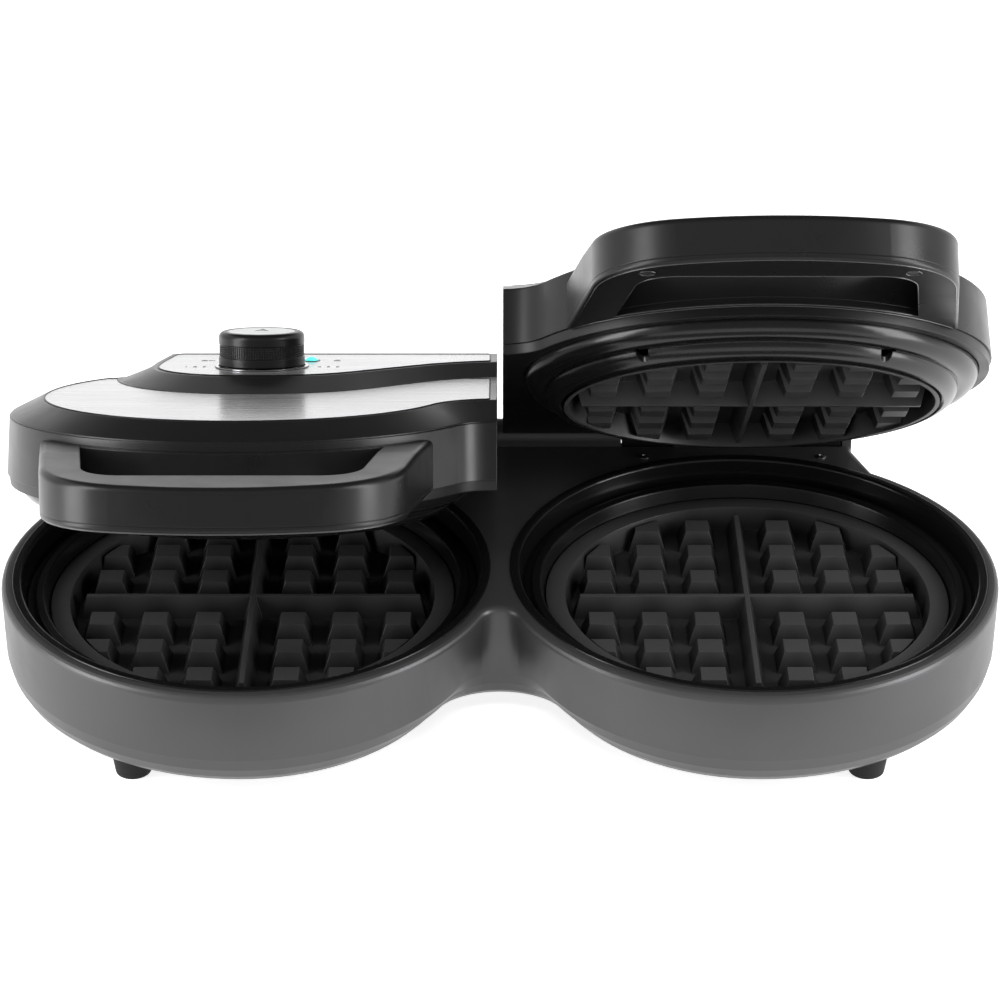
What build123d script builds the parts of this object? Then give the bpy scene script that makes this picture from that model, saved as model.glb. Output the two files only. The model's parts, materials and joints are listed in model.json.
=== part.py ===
from build123d import *
import os
from math import atan2, cos, degrees, hypot, pi, radians, sin, tan

# All lengths are millimetres and all angles degrees. While the parts are drawn, X runs to the
# right, Y to the back and Z up from the table top, and both lids are shut.

# Plan of the base: two round cooking stations that meet at a waist, with a squared back
station_pitch = 235.8
rim_radius = 118.5
waist_front = 40.0
shoulder_angle = 54.4
shoulder_y = 120.5
back_y = 138.0
back_corner_x = 61.5
lid_back_corner_x = 57.0

# Heights and walls of the base
foot_height = 12.0
crease_height = 26.5
crease_radius = 118.1
crease_waist = 43.0
crease_pinch = 9.0
belly_height = 20.5
belly_radius = 116.8
belly_waist = 42.0
belly_pinch = 14.0
bottom_radius = 110.8
bottom_waist = 36.0
bottom_edge_height = 3.5
bottom_edge_radius = 114.2
bottom_pinch = 18.0
rim_round = 3.4
rim_steps = 4
base_wall = 2.5
deck_thickness = 4.0
cover_thickness = 2.5
wiring_space = 5.95

# Feet, bosses and screws of the base
foot_top_radius = 9.8
foot_bottom_radius = 8.2
front_foot = (50.9, -85.1)
rear_foot = (42.0, 112.0)
boss_radius = 4.0
boss_circle = 102.5
boss_rib_thickness = 2.4
boss_angles = (-20.0, 32.0)
waist_boss_y = (-26.0, 84.0)
screw_shank_radius = 1.5
screw_head_radius = 2.9
screw_head_height = 1.8
screw_length = 12.0
screw_fit = 0.06

# Moat ring round each cooking plate
moat_border = 5.2
moat_flange_width = 4.4
moat_flange_top = 0.6
moat_depth = 12.6
moat_wall_run = 6.3
moat_floor_width = 3.4
ridge_drop = 8.4
ridge_step = 0.9
ridge_width = 4.1
moat_skin = 1.8
ledge_width = 2.3

# Cooking plates: a dish with square pegs and a cross that quarters the waffle
plate_inset = 17.4
plate_flange_width = 8.9
cavity_draft = 2.5
plate_flange_thickness = 3.1
plate_thickness = 3.0
cavity_depth = 11.5
lower_parting_drop = 15.5
parting_gap = 1.9
peg_root = 18.4
peg_tip = 11.4
peg_height = 10.0
peg_first = 20.0
peg_pitch = 25.0
cross_root = 9.0
cross_tip = 2.2
cross_height = 11.0
cross_reach = 79.5
cross_end_slant = 3.5
plate_boss_circle = 74.0
plate_boss_height = 8.7
plate_boss_radius = 4.0

# Heating element and heat reflector behind each plate
element_circle = 56.0
element_radius = 3.2
element_gap = 60.0
element_tail = 13.0
reflector_radius = 85.0
reflector_rim = 7.0
reflector_thickness = 0.8
fuse_radius = 2.6
fuse_length = 22.0

# Hinge: one axis along the back, shared by both lids
hinge_y = 131.0
hinge_above_rim = 3.0
knuckle_radius = 8.0
knuckle_gap = 1.0
pocket_gap = 0.8
pin_radius = 3.0
pin_fit = 0.05
lid_knuckle_inner = 30.0
lid_knuckle_outer = 55.5
ear_outer = 61.2
rail_front = 118.0
rail_height = 12.0

# Lid shell, heights above the rim
lid_gap = 2.8
lid_back = 121.5
lid_shoulder_y = 118.0
lid_foot_height = 6.0
lid_foot_radius = 112.6
lid_foot_waist = 43.0
lid_seam_height = 32.6
lid_seam_radius = 111.0
lid_seam_waist = 40.5
lid_seam_groove = 0.7
lid_top_height = 40.0
lid_top_radius = 96.0
lid_top_waist = 19.0
lid_side_draw = 2.9
lid_wall = 2.5
deck_height = 45.6

# Under cover of the lid, and the splash ring in it
cover_bottom = 1.2
cover_radius = 111.3
cover_skin = 2.5
splash_fit = 0.4
splash_inset = 7.1
splash_belly_run = 9.4
splash_belly_drop = 4.9
splash_crease_drop = 6.6
splash_width = 17.6
splash_inner_drop = 13.0
splash_toe = 0.4
splash_skin = 2.0
splash_screw_angle = 55.6
splash_boss_radius = 4.3
splash_boss_inset = 8.8

# Handle
handle_bottom = 5.2
handle_front_y = -187.0
handle_front_sag = 19.0
handle_corner_x = 75.0
handle_root_x = 88.0
handle_root_y = -70.0
handle_corner_radius = 48.0
handle_top_round = 3.0
handle_bottom_round = 1.6
handle_height = 19.5
handle_rise = 4.3
handle_clearance = 0.15
handle_back_strip = 3.2
handle_base_thickness = 3.0
slot_half_width = 70.5
slot_front_half_width = 58.0
slot_front_y = -160.5
slot_corner_radius = 18.0
handle_screw = (56.0, -165.0)
root_screw_angle = 43.0

# Steel panels, dial and ready light
panel_thickness = 0.8
panel_proud = 0.2
panel_edge_gap = 0.2
panel_bed = 0.02
panel_border = 3.2
panel_end_border = 3.7
panel_back_corner = 4.0
panel_end_corner = 1.5
front_panel_radius = 94.5
front_panel_waist = 17.5
front_panel_gap = 1.8
front_panel_tip_y = 60.0
knob_x = 1.7
knob_y = 63.0
knob_radius = 20.9
knob_lift = 0.9
knob_height = 16.6
knob_grip_depth = 0.5
knob_grip_foot = 4.6
knob_grip_top = 10.4
knob_shoulder_round = 2.8
cap_radius = 16.4
cap_depth = 1.2
dial_hole_radius = 22.9
dial_ring_width = 1.5
spindle_radius = 3.0
spindle_fit = 0.05
light_x = 24.5
light_y = 88.0
light_radius = 4.0
thermostat_size = 27.0
thermostat_height = 15.0

# Cord inlet and terminal block in the base
inlet_height = 37.0
inlet_seat_depth = 0.4
inlet_bore = 3.6
inlet_sleeve_radius = 6.0
inlet_collar_radius = 8.5
inlet_collar_thickness = 3.0
terminal_size = (42.0, 13.0, 12.0)
terminal_y = 104.0

# How far each lid stands open at rest, and how far it opens from shut
left_open = 19.3
right_open = 40.0
lid_travel = 100.0
dial_travel = 135.0

half_pitch = station_pitch / 2
dial_x = knob_x - half_pitch
plate_stack = reflector_thickness + plate_boss_height + plate_thickness + cavity_depth
rim_height = foot_height + cover_thickness + wiring_space + plate_stack + 0.05 + lower_parting_drop
hinge_z = rim_height + hinge_above_rim
moat_outer_radius = rim_radius - moat_border
moat_floor_outer = moat_outer_radius - moat_wall_run
moat_floor_inner = moat_floor_outer - moat_floor_width
ridge_outer = moat_floor_inner - ridge_step
ridge_inner = ridge_outer - ridge_width
plate_flange_radius = moat_outer_radius - plate_inset
plate_mouth_radius = plate_flange_radius - plate_flange_width
plate_floor_radius = plate_mouth_radius - cavity_draft
splash_outer_radius = moat_outer_radius - splash_inset
splash_crease_radius = splash_outer_radius - splash_belly_run
splash_inner_radius = splash_outer_radius - splash_width
splash_screw_circle = splash_outer_radius - splash_boss_inset
cover_hole_radius = splash_outer_radius + splash_fit
lower_floor = rim_height - lower_parting_drop - cavity_depth
upper_mouth = rim_height - lower_parting_drop + parting_gap
upper_floor = upper_mouth + cavity_depth - 0.2


def plan(radius, waist, back, side, shoulder, z, pinch=0.0):
    # Outline round both stations, with a round fillet at the front waist and a squared back.
    # A pinch draws the inner front quarter of each station in towards the waist.
    quarter = radius - pinch
    depth = waist - pinch
    turn = (half_pitch**2 + depth**2 - quarter**2) / (2 * (quarter - depth))
    lean = degrees(atan2(depth + turn, half_pitch))
    corner_x = half_pitch + radius * cos(radians(shoulder_angle))
    corner_y = radius * sin(radians(shoulder_angle))
    line = CenterArc((0, -waist - turn), turn, lean, 180 - 2 * lean)
    line += CenterArc((half_pitch, -pinch), quarter, 180 + lean, 90 - lean)
    line += CenterArc((half_pitch, 0), radius, 270, 90 + shoulder_angle)
    line += Polyline(
        (corner_x, corner_y), (side, shoulder), (side, back),
        (-side, back), (-side, shoulder), (-corner_x, corner_y),
    )
    line += CenterArc((-half_pitch, 0), radius, 180 - shoulder_angle, 90 + shoulder_angle)
    line += CenterArc((-half_pitch, -pinch), quarter, 270, 90 - lean)
    return Pos(0, 0, z) * make_face(line)


def base_plan(radius, waist, z, pinch=0.0):
    draw = rim_radius - radius
    side = half_pitch + back_corner_x - draw
    return plan(radius, waist, back_y - draw, side, shoulder_y - draw, z, pinch)


def revolved(points, radii=None):
    # Turned part from a closed section of radius and height points, with rounded corners
    radii = radii or {}
    if radii:
        rounding = [radii.get(i, 0) for i in range(len(points))]
        outline = FilletPolyline(*points, radius=rounding, close=True)
    else:
        outline = Polyline(*points, close=True)
    return revolve(Plane.XZ * make_face(outline), Axis.Z)


def bar_along_x(x0, x1, y, z, radius):
    return Pos((x0 + x1) / 2, y, z) * Rot(0, 90, 0) * Cylinder(radius, abs(x1 - x0))


def bar_along_y(x, z, y0, y1, radius):
    return Pos(x, (y0 + y1) / 2, z) * Rot(90, 0, 0) * Cylinder(radius, y1 - y0)


def block(x0, x1, y0, y1, z0, z1):
    return Pos((x0 + x1) / 2, (y0 + y1) / 2, (z0 + z1) / 2) * Box(x1 - x0, y1 - y0, z1 - z0)


def post(x, y, z0, z1, radius):
    return Pos(x, y, (z0 + z1) / 2) * Cylinder(radius, z1 - z0)


def screw(x, y, seat, length=screw_length):
    # Pan-head screw pointing up, whose head bears on the height seat
    head = post(x, y, seat - screw_head_height, seat, screw_head_radius)
    return head + post(x, y, seat, seat + length, screw_shank_radius)


def screw_hole(x, y, z0, z1):
    return post(x, y, z0, z1, screw_shank_radius + screw_fit)


def mirrored(shape):
    return mirror(shape, about=Plane.YZ)


def lid_knuckles():
    # X ranges of the left lid's two knuckles
    return (
        (-half_pitch - lid_knuckle_outer, -half_pitch - lid_knuckle_inner),
        (-half_pitch + lid_knuckle_inner, -half_pitch + lid_knuckle_outer),
    )


def base_bosses():
    # Screw places in the base: two on the centre line, the rest round the stations
    places = [(0, y, True) for y in waist_boss_y]
    for side in (-1, 1):
        for angle in boss_angles:
            x = side * (half_pitch + boss_circle * cos(radians(angle)))
            places.append((x, boss_circle * sin(radians(angle)), False))
    return places


def base_outside():
    # Solid outer form, with the rim rolled over in short steps
    levels = [
        base_plan(bottom_radius, bottom_waist, foot_height, bottom_pinch),
        base_plan(bottom_edge_radius, waist_front, foot_height + bottom_edge_height, bottom_pinch),
        base_plan(belly_radius, belly_waist, belly_height, belly_pinch),
        base_plan(crease_radius, crease_waist, crease_height, crease_pinch),
    ]
    for step in range(rim_steps + 1):
        turn = radians(90 * step / rim_steps)
        draw = rim_round * (1 - cos(turn))
        height = rim_height - rim_round * (1 - sin(turn))
        levels.append(base_plan(rim_radius - draw, waist_front - draw, height))
    return loft(levels, ruled=True)


def edges_at(solid, height):
    return solid.edges().filter_by_position(Axis.Z, height - 0.01, height + 0.01)


def base_shell():
    shell = base_outside()
    deck_under = rim_height - deck_thickness
    inside = loft([
        base_plan(bottom_radius - base_wall, bottom_waist - base_wall, foot_height,
                  bottom_pinch),
        base_plan(bottom_edge_radius - base_wall, waist_front - base_wall,
                  foot_height + bottom_edge_height, bottom_pinch),
        base_plan(crease_radius - base_wall, crease_waist - base_wall, crease_height,
                  crease_pinch),
        base_plan(rim_radius - base_wall - 0.2, waist_front - base_wall, deck_under),
    ], ruled=True)
    rail_under = rim_height - rail_height
    inside -= block(-300, 300, rail_front, back_y + 50, rail_under, rim_height)
    shell -= inside
    seat_z = rim_height + moat_flange_top - 2.6
    for x in (-half_pitch, half_pitch):
        shell -= post(x, 0, seat_z, rim_height + 1, moat_outer_radius + 0.1)
        shell -= post(x, 0, deck_under - 1, seat_z + 1, moat_outer_radius - ledge_width + 0.1)
    for x, y, tall in base_bosses():
        height = deck_under if tall else crease_height + 13
        shell += post(x, y, foot_height + cover_thickness, height, boss_radius)
    for side in (0, 180):
        for angle in boss_angles:
            rib = block(boss_circle, crease_radius - 1.5, -boss_rib_thickness / 2,
                        boss_rib_thickness / 2, crease_height - 2.5, crease_height + 13)
            rib = Pos(half_pitch, 0, 0) * Rot(0, 0, angle) * rib
            shell += mirrored(rib) if side else rib
    for x, y, tall in base_bosses():
        shell -= screw_hole(x, y, foot_height, foot_height + cover_thickness + screw_length)
    shell += base_knuckles()
    for x0, x1 in lid_knuckles():
        shell -= knuckle_pocket(x0, x1)
        shell -= knuckle_pocket(-x1, -x0)
    reach = half_pitch + ear_outer + 1
    shell -= bar_along_x(-reach, -pin_end(), hinge_y, hinge_z, pin_radius + pin_fit)
    shell -= bar_along_x(pin_end(), reach, hinge_y, hinge_z, pin_radius + pin_fit)
    shell -= bar_along_y(0, inlet_height, back_y - 20, back_y + 5, inlet_sleeve_radius + 0.1)
    seat_radius = inlet_collar_radius + 0.2
    return shell - bar_along_y(0, inlet_height, inlet_seat(), back_y + 5, seat_radius)


def inlet_seat():
    # Flat spot in the sloping back wall, for the collar of the cord inlet
    return back_y - (rim_radius - crease_radius) - inlet_seat_depth


def pin_end():
    # The pins stop inside the knuckle between the lids
    return half_pitch - lid_knuckle_outer - 12


def base_knuckles():
    centre = half_pitch - lid_knuckle_outer - knuckle_gap
    mid = lid_knuckle_inner - knuckle_gap
    spans = [(-centre, centre), (half_pitch - mid, half_pitch + mid)]
    spans.append((-half_pitch - mid, -half_pitch + mid))
    ear = half_pitch + lid_knuckle_outer + knuckle_gap
    spans.append((ear, half_pitch + ear_outer))
    spans.append((-half_pitch - ear_outer, -ear))
    solid = None
    for x0, x1 in spans:
        web = block(x0, x1, hinge_y - knuckle_radius, back_y - rim_round,
                    rim_height - rail_height / 2, hinge_z)
        one = bar_along_x(x0, x1, hinge_y, hinge_z, knuckle_radius) + web
        solid = one if solid is None else solid + one
    return solid


def knuckle_pocket(x0, x1):
    low, high = x0 - knuckle_gap / 2, x1 + knuckle_gap / 2
    radius = knuckle_radius + pocket_gap
    pocket = bar_along_x(low, high, hinge_y, hinge_z, radius)
    return pocket + block(low, high, hinge_y, back_y + 5, hinge_z - radius, rim_height + 1)


def bottom_cover():
    inset = base_wall + 0.4
    face = base_plan(bottom_radius - inset, bottom_waist - inset, foot_height, bottom_pinch)
    plate = extrude(face, cover_thickness)
    for x, y, tall in base_bosses():
        plate -= screw_hole(x, y, foot_height - 1, foot_height + cover_thickness + 1)
    for side in (-1, 1):
        for row in range(-2, 3):
            slot = Pos(side * half_pitch, row * 14, foot_height) * SlotOverall(44, 4)
            plate -= extrude(slot, 2 * cover_thickness, both=True)
    return plate


def moat_ring():
    top = rim_height + moat_flange_top
    under = top - 2.55
    floor = rim_height - moat_depth
    ridge = rim_height - ridge_drop
    ledge = rim_height - lower_parting_drop - plate_flange_thickness - 0.15
    lip = plate_flange_radius + 0.7
    neck = moat_outer_radius - ledge_width - 0.2
    flange_in = moat_outer_radius - moat_flange_width
    points = [
        (moat_outer_radius, under), (moat_outer_radius, top), (flange_in, top),
        (moat_floor_outer, floor), (moat_floor_inner, floor),
        (ridge_outer, ridge), (ridge_inner, ridge),
        (lip, ledge + 3.4), (lip, ledge), (lip - 3.2, ledge), (lip - 3.2, ledge - 1.6),
        (lip + moat_skin, ledge - 1.6), (lip + moat_skin, ledge + 2.4),
        (ridge_inner + 1.5, ridge - moat_skin), (ridge_outer - 1.5, ridge - moat_skin),
        (moat_floor_inner - moat_skin, floor - moat_skin),
        (moat_floor_outer + moat_skin, floor - moat_skin),
        (neck, under - 2.0), (neck, under),
    ]
    ring = revolved(points, {1: 0.6, 2: 1.7, 3: 1.5, 4: 1.3, 5: 0.9, 6: 1.0})
    return Pos(-half_pitch, 0, 0) * ring


def peg_places():
    steps = [peg_first + i * peg_pitch for i in range(3)]
    rows = [-s for s in steps] + steps
    reach = plate_mouth_radius + peg_tip / 2 - 4
    return [(x, y) for x in rows for y in rows if hypot(x, y) < reach]


def waffle_grid():
    # Tapered pegs and the two wedge bars, standing on the plate's floor at height 0
    draft = degrees(atan2((peg_root - peg_tip) / 2, peg_height))
    peg = extrude(Rectangle(peg_root, peg_root), peg_height, taper=draft)
    solid = None
    for x, y in peg_places():
        one = Pos(x, y, 0) * peg
        solid = one if solid is None else solid + one
    wedge = Polyline(
        (-cross_root / 2, -0.5), (cross_root / 2, -0.5),
        (cross_tip / 2, cross_height), (-cross_tip / 2, cross_height), close=True,
    )
    bar = extrude(Plane.XZ * make_face(wedge), plate_mouth_radius, both=True)
    bar_ends = revolved([
        (0, -1), (cross_reach + cross_end_slant, -1), (cross_reach, cavity_depth), (0, cavity_depth),
    ])
    solid += (bar + Rot(0, 0, 90) * bar) & bar_ends
    return solid & Pos(0, 0, cavity_depth / 2) * Cylinder(plate_floor_radius + 0.6, cavity_depth + 1)


def plate_bosses():
    return [
        (plate_boss_circle * cos(radians(a)), plate_boss_circle * sin(radians(a)))
        for a in (90, 210, 330)
    ]


def cooking_plate(section):
    # Plate with its floor at height 0, its mouth upwards and its bosses below
    plate = revolved(section) + waffle_grid()
    foot = -plate_thickness - plate_boss_height
    for x, y in plate_bosses():
        plate += post(x, y, foot, -plate_thickness / 2, plate_boss_radius)
        plate -= screw_hole(x, y, foot - 1, -plate_thickness + 0.5)
    return plate


def lower_plate():
    flange = cavity_depth - plate_flange_thickness
    back = plate_mouth_radius + plate_thickness - 0.4
    plate = cooking_plate([
        (0, 0), (plate_floor_radius, 0), (plate_mouth_radius, cavity_depth),
        (plate_flange_radius, cavity_depth), (plate_flange_radius, flange), (back, flange),
        (plate_floor_radius + plate_thickness, -plate_thickness), (0, -plate_thickness),
    ])
    return Pos(-half_pitch, 0, lower_floor) * plate


def upper_plate():
    mouth = upper_floor - upper_mouth
    lip = splash_inner_radius - 0.6
    seat = upper_floor - (rim_height - splash_inner_drop + 2.6) - 0.1
    plate = cooking_plate([
        (0, 0), (plate_floor_radius - 0.5, 0), (plate_mouth_radius - 1, mouth), (lip, mouth),
        (lip, seat), (lip + 3.4, seat), (lip + 3.4, seat - 2.4), (lip - 0.4, seat - 2.4),
        (lip - 1.4, -plate_thickness), (0, -plate_thickness),
    ])
    return Pos(-half_pitch, 0, upper_floor) * Rot(0, 180, 0) * plate


def element():
    # Tubular heater under the plate, open towards the back, with a cold tail at each end
    z = -plate_thickness - element_radius - 0.1
    tube = Plane.XZ * Pos(element_circle, z) * Circle(element_radius)
    ring = Rot(0, 0, 90 + element_gap / 2) * revolve(tube, Axis.Z, 360 - element_gap)
    for side in (-1, 1):
        a = radians(90 + side * element_gap / 2)
        tail = Pos(element_circle * cos(a), element_circle * sin(a), z)
        tail *= Rot(0, 0, degrees(a) - 90 * side) * Rot(0, 90, 0)
        ring += tail * Pos(0, 0, element_tail / 2) * Cylinder(element_radius * 0.6, element_tail)
    return ring


def reflector():
    top = -plate_thickness - plate_boss_height - 0.05
    low = top - reflector_thickness
    rim = reflector_radius - reflector_thickness
    tray = revolved([
        (0, low), (reflector_radius, low), (reflector_radius, top + reflector_rim),
        (rim, top + reflector_rim), (rim, top), (0, top),
    ])
    for x, y in plate_bosses():
        tray -= screw_hole(x, y, low - 1, top + 1)
    return tray


def reflector_screws():
    seat = -plate_thickness - plate_boss_height - 0.05 - reflector_thickness
    return [screw(x, y, seat, screw_length - 5) for x, y in plate_bosses()]


def in_base(shape):
    return Pos(-half_pitch, 0, lower_floor) * shape


def in_lid(shape):
    return Pos(-half_pitch, 0, upper_floor) * Rot(0, 180, 0) * shape


def thermal_fuse():
    z = -plate_thickness - fuse_radius - 0.1
    can = Pos(0, 0, z) * Rot(0, 90, 0) * Cylinder(fuse_radius, fuse_length)
    return can + Pos(0, 0, z) * Rot(0, 90, 0) * Cylinder(fuse_radius * 0.35, fuse_length + 16)


def feet():
    section = [
        (0, 0), (foot_bottom_radius, 0), (foot_top_radius, foot_height), (0, foot_height),
    ]
    foot = revolved(section, {1: 1.0})
    solids = []
    for x, y in (front_foot, rear_foot):
        for side in (-1, 1):
            solids.append(Pos(side * (half_pitch + x), y, 0) * foot)
    return solids


def base_screws():
    return [screw(x, y, foot_height) for x, y, tall in base_bosses()]


def hinge_pin():
    x0 = -half_pitch - ear_outer + 0.5
    return bar_along_x(x0, -pin_end() - 0.5, hinge_y, hinge_z, pin_radius)


def cord_inlet():
    seat = inlet_seat()
    outside = seat + inlet_collar_thickness
    sleeve = bar_along_y(0, inlet_height, seat - 8, outside, inlet_sleeve_radius)
    collar = bar_along_y(0, inlet_height, seat, outside, inlet_collar_radius)
    return sleeve + collar - bar_along_y(0, inlet_height, seat - 20, back_y + 20, inlet_bore)


def terminal_block():
    long, deep, tall = terminal_size
    z = foot_height + cover_thickness
    body = block(-long / 2, long / 2, terminal_y - deep / 2, terminal_y + deep / 2, z, z + tall)
    for i in (-1, 0, 1):
        body -= post(i * long / 3, terminal_y, z + tall - 4, z + tall + 1, 2.4)
    return body


def deck_plan(shape, inset, z):
    # Raised deck of the left lid. The front edge runs straight over the station, then sweeps
    # back in two arcs towards the middle of the appliance.
    corner = shape["corner"]
    front = shape["front"] + inset
    left = shape["left"]
    pivot_x = left + corner
    pivot_y = shape["front"] + corner
    heading = radians(shape["heading"])
    end_heading = radians(shape["end_heading"])
    first = shape["first"]
    second = shape["second"]
    line = CenterArc((pivot_x, pivot_y), corner - inset, 180, 90)
    line += Line((pivot_x, front), (shape["turn"], front))
    line += CenterArc((shape["turn"], shape["front"] + first), first - inset, -90,
                      shape["heading"])
    ax = shape["turn"] + first * sin(heading)
    ay = shape["front"] + first * (1 - cos(heading))
    bx = ax + shape["run"] * cos(heading)
    by = ay + shape["run"] * sin(heading)
    shift = (-inset * sin(heading), inset * cos(heading))
    line += Line((ax + shift[0], ay + shift[1]), (bx + shift[0], by + shift[1]))
    cx = bx + second * sin(heading)
    cy = by - second * cos(heading)
    line += CenterArc((cx, cy), second + inset, shape["heading"] + 90,
                      shape["end_heading"] - shape["heading"])
    ex = cx - (second + inset) * sin(end_heading)
    ey = cy + (second + inset) * cos(end_heading)
    end_x = half_pitch + 5
    end_y = ey + (end_x - ex) * tan(end_heading)
    line += Polyline(
        (ex, ey), (end_x, end_y), (end_x, shape["back"] - inset),
        (shape["back_x"] + inset, shape["back"] - inset),
        (shape["side_x"] + inset, shape["side_y"]), (left + inset, pivot_y),
    )
    return Pos(-half_pitch, 0, z) * make_face(line)


deck_top = {
    "left": -52.0, "front": 23.5, "corner": 42.0, "turn": 8.0, "first": 62.0, "heading": 41.0,
    "run": 41.5, "second": 80.0, "end_heading": 12.0, "back": 119.5, "back_x": -47.5,
    "side_x": -51.5, "side_y": 82.0,
}
deck_foot = {
    "left": -67.0, "front": 2.0, "corner": 62.0, "turn": 5.0, "first": 70.0, "heading": 45.0,
    "run": 36.0, "second": 67.5, "end_heading": 10.0, "back": 121.4, "back_x": -53.5,
    "side_x": -56.5, "side_y": 77.5,
}


def lid_plan(radius, waist, side_draw, inset, z):
    side = half_pitch + lid_back_corner_x - side_draw - inset
    return plan(radius - inset, waist - inset, lid_back - inset, side, lid_shoulder_y - inset, z)


def left_half(shape, extra=0.0):
    # Keeps the left lid's side of the gap between the lids
    edge = -lid_gap / 2 - extra
    return shape & block(edge - 400, edge, -300, 300, -50, 400)


def lid_top():
    return rim_height + lid_top_height


def deck_z():
    return rim_height + deck_height


def splash_screw_places():
    a = radians(splash_screw_angle)
    x, y = splash_screw_circle * cos(a), splash_screw_circle * sin(a)
    return [(sx * x, sy * y) for sx in (-1, 1) for sy in (-1, 1)]


def upper_shell():
    foot_z = rim_height + lid_foot_height
    seam_z = rim_height + lid_seam_height
    shell = loft([
        lid_plan(lid_foot_radius, lid_foot_waist, 0, 0, foot_z),
        lid_plan(lid_seam_radius, lid_seam_waist, 0.5, 0, seam_z),
        lid_plan(lid_top_radius, lid_top_waist, lid_side_draw, 0, lid_top()),
    ], ruled=True)
    groove_z = seam_z - lid_seam_groove / 2
    groove = block(-400, 0, -200, 200, groove_z, groove_z + lid_seam_groove)
    core = lid_plan(lid_seam_radius, lid_seam_waist, 0.5, lid_seam_groove, groove_z - 1)
    shell = left_half(shell - (groove - extrude(core, 3)))
    deck = loft([
        deck_plan(deck_foot, 0, lid_top() - 0.2),
        deck_plan(deck_top, 0, deck_z()),
    ], ruled=True)
    shell += left_half(deck)
    bosses = None
    boss_low = rim_height + 1.7
    for x, y in splash_screw_places():
        boss = post(x - half_pitch, y, boss_low, deck_z() - 1, splash_boss_radius - 0.1)
        bosses = boss if bosses is None else bosses + boss
    below = block(-400, 0, -200, 200, boss_low - 1, rim_height + lid_foot_height)
    bosses = (bosses & shell) + (bosses & below)
    inside = loft([
        lid_plan(lid_foot_radius, lid_foot_waist, 0, lid_wall, foot_z - 1),
        lid_plan(lid_seam_radius, lid_seam_waist, 0.5, lid_wall, seam_z - 0.8),
        lid_plan(lid_top_radius, lid_top_waist, lid_side_draw, lid_wall - 1.5, lid_top() - lid_wall),
    ], ruled=True)
    inner_deck = loft([
        deck_plan(deck_foot, 4, lid_top() - lid_wall - 0.2),
        deck_plan(deck_top, lid_wall, deck_z() - lid_wall),
    ], ruled=True)
    shell -= left_half(inside + inner_deck, lid_wall)
    shell += bosses
    for x, y in splash_screw_places():
        shell -= screw_hole(x - half_pitch, y, boss_low - 1, boss_low + screw_length)
    shell -= panel_recess(front_panel_face, lid_top())
    shell -= panel_recess(deck_panel_face, deck_z())
    shell -= post(dial_x, knob_y, deck_z() - 20, deck_z() + 5, spindle_radius + 1.0)
    shell -= post(-half_pitch + light_x, light_y, deck_z() - 20, deck_z() + 5, light_radius - 1.4)
    for side in (-1, 1):
        shell -= root_screw_place(side) * post(0, 0, -20, 20, screw_shank_radius + screw_fit)
    return shell


def root_screw_place(side):
    # On the inner face of the lid's wall behind one end of the handle, Z pointing outwards
    turn = -90 + side * root_screw_angle
    z = rim_height + handle_bottom + handle_height / 2
    radius = lid_seam_radius - lid_wall - 0.2
    return Pos(-half_pitch, 0, z) * Rot(0, 0, turn) * Pos(radius, 0, 0) * Rot(0, 90, 0)


def panel_recess(face_maker, surface):
    depth = panel_thickness - panel_proud + panel_bed
    return extrude(face_maker(-panel_edge_gap, surface - depth), depth + 2)


def panel_end(inset):
    return -lid_gap / 2 - panel_end_border - inset


def front_panel_face(inset, z):
    outer = lid_plan(front_panel_radius, front_panel_waist, lid_side_draw + 3, inset, z)
    inner = deck_plan(deck_foot, -front_panel_gap - inset, z)
    keep = Pos(panel_end(inset) - 150, front_panel_tip_y - inset - 150, z) * Rectangle(300, 300)
    face = (outer & keep) - inner
    ends = face.vertices().sort_by(Axis.X)[-2:]
    return fillet(ends, panel_end_corner)


def deck_panel_face(inset, z):
    keep = Pos(panel_end(inset) - 150, 0, z) * Rectangle(300, 300)
    face = deck_plan(deck_top, panel_border + inset, z) & keep
    back_corner = face.vertices().sort_by(Axis.Y)[-2:].sort_by(Axis.X)[0]
    face = fillet(back_corner, panel_back_corner)
    return fillet(face.vertices().sort_by(Axis.X)[-2:], panel_end_corner)


def front_panel():
    z = lid_top() - panel_thickness + panel_proud
    return extrude(front_panel_face(0, z), panel_thickness)


def deck_panel():
    z = deck_z() - panel_thickness + panel_proud
    panel = extrude(deck_panel_face(0, z), panel_thickness)
    panel -= post(dial_x, knob_y, z - 1, z + 3, dial_hole_radius)
    return panel - post(-half_pitch + light_x, light_y, z - 1, z + 3, light_radius + 0.1)


def under_cover():
    low = rim_height + cover_bottom
    high = rim_height + lid_foot_height
    drop = lid_foot_radius - cover_radius
    tray = loft([
        lid_plan(cover_radius, lid_foot_waist - drop, drop, 0, low),
        lid_plan(cover_radius + 0.5, lid_foot_waist - drop + 0.5, drop - 0.5, 0, high),
    ], ruled=True)
    tray = left_half(tray)
    inside = extrude(
        lid_plan(cover_radius - cover_skin, lid_foot_waist - drop - cover_skin, drop + cover_skin,
                 0, low + cover_skin), lid_foot_height)
    tray -= left_half(inside, cover_skin)
    tray -= post(-half_pitch, 0, low - 1, high + 1, cover_hole_radius)
    for x0, x1 in lid_knuckles():
        web = block(x0, x1, lid_back - 4, hinge_y, low, high - 0.1)
        tray += web + bar_along_x(x0, x1, hinge_y, hinge_z, knuckle_radius)
        tray -= bar_along_x(x0 - 1, x1 + 1, hinge_y, hinge_z, pin_radius + pin_fit)
    return tray


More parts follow.
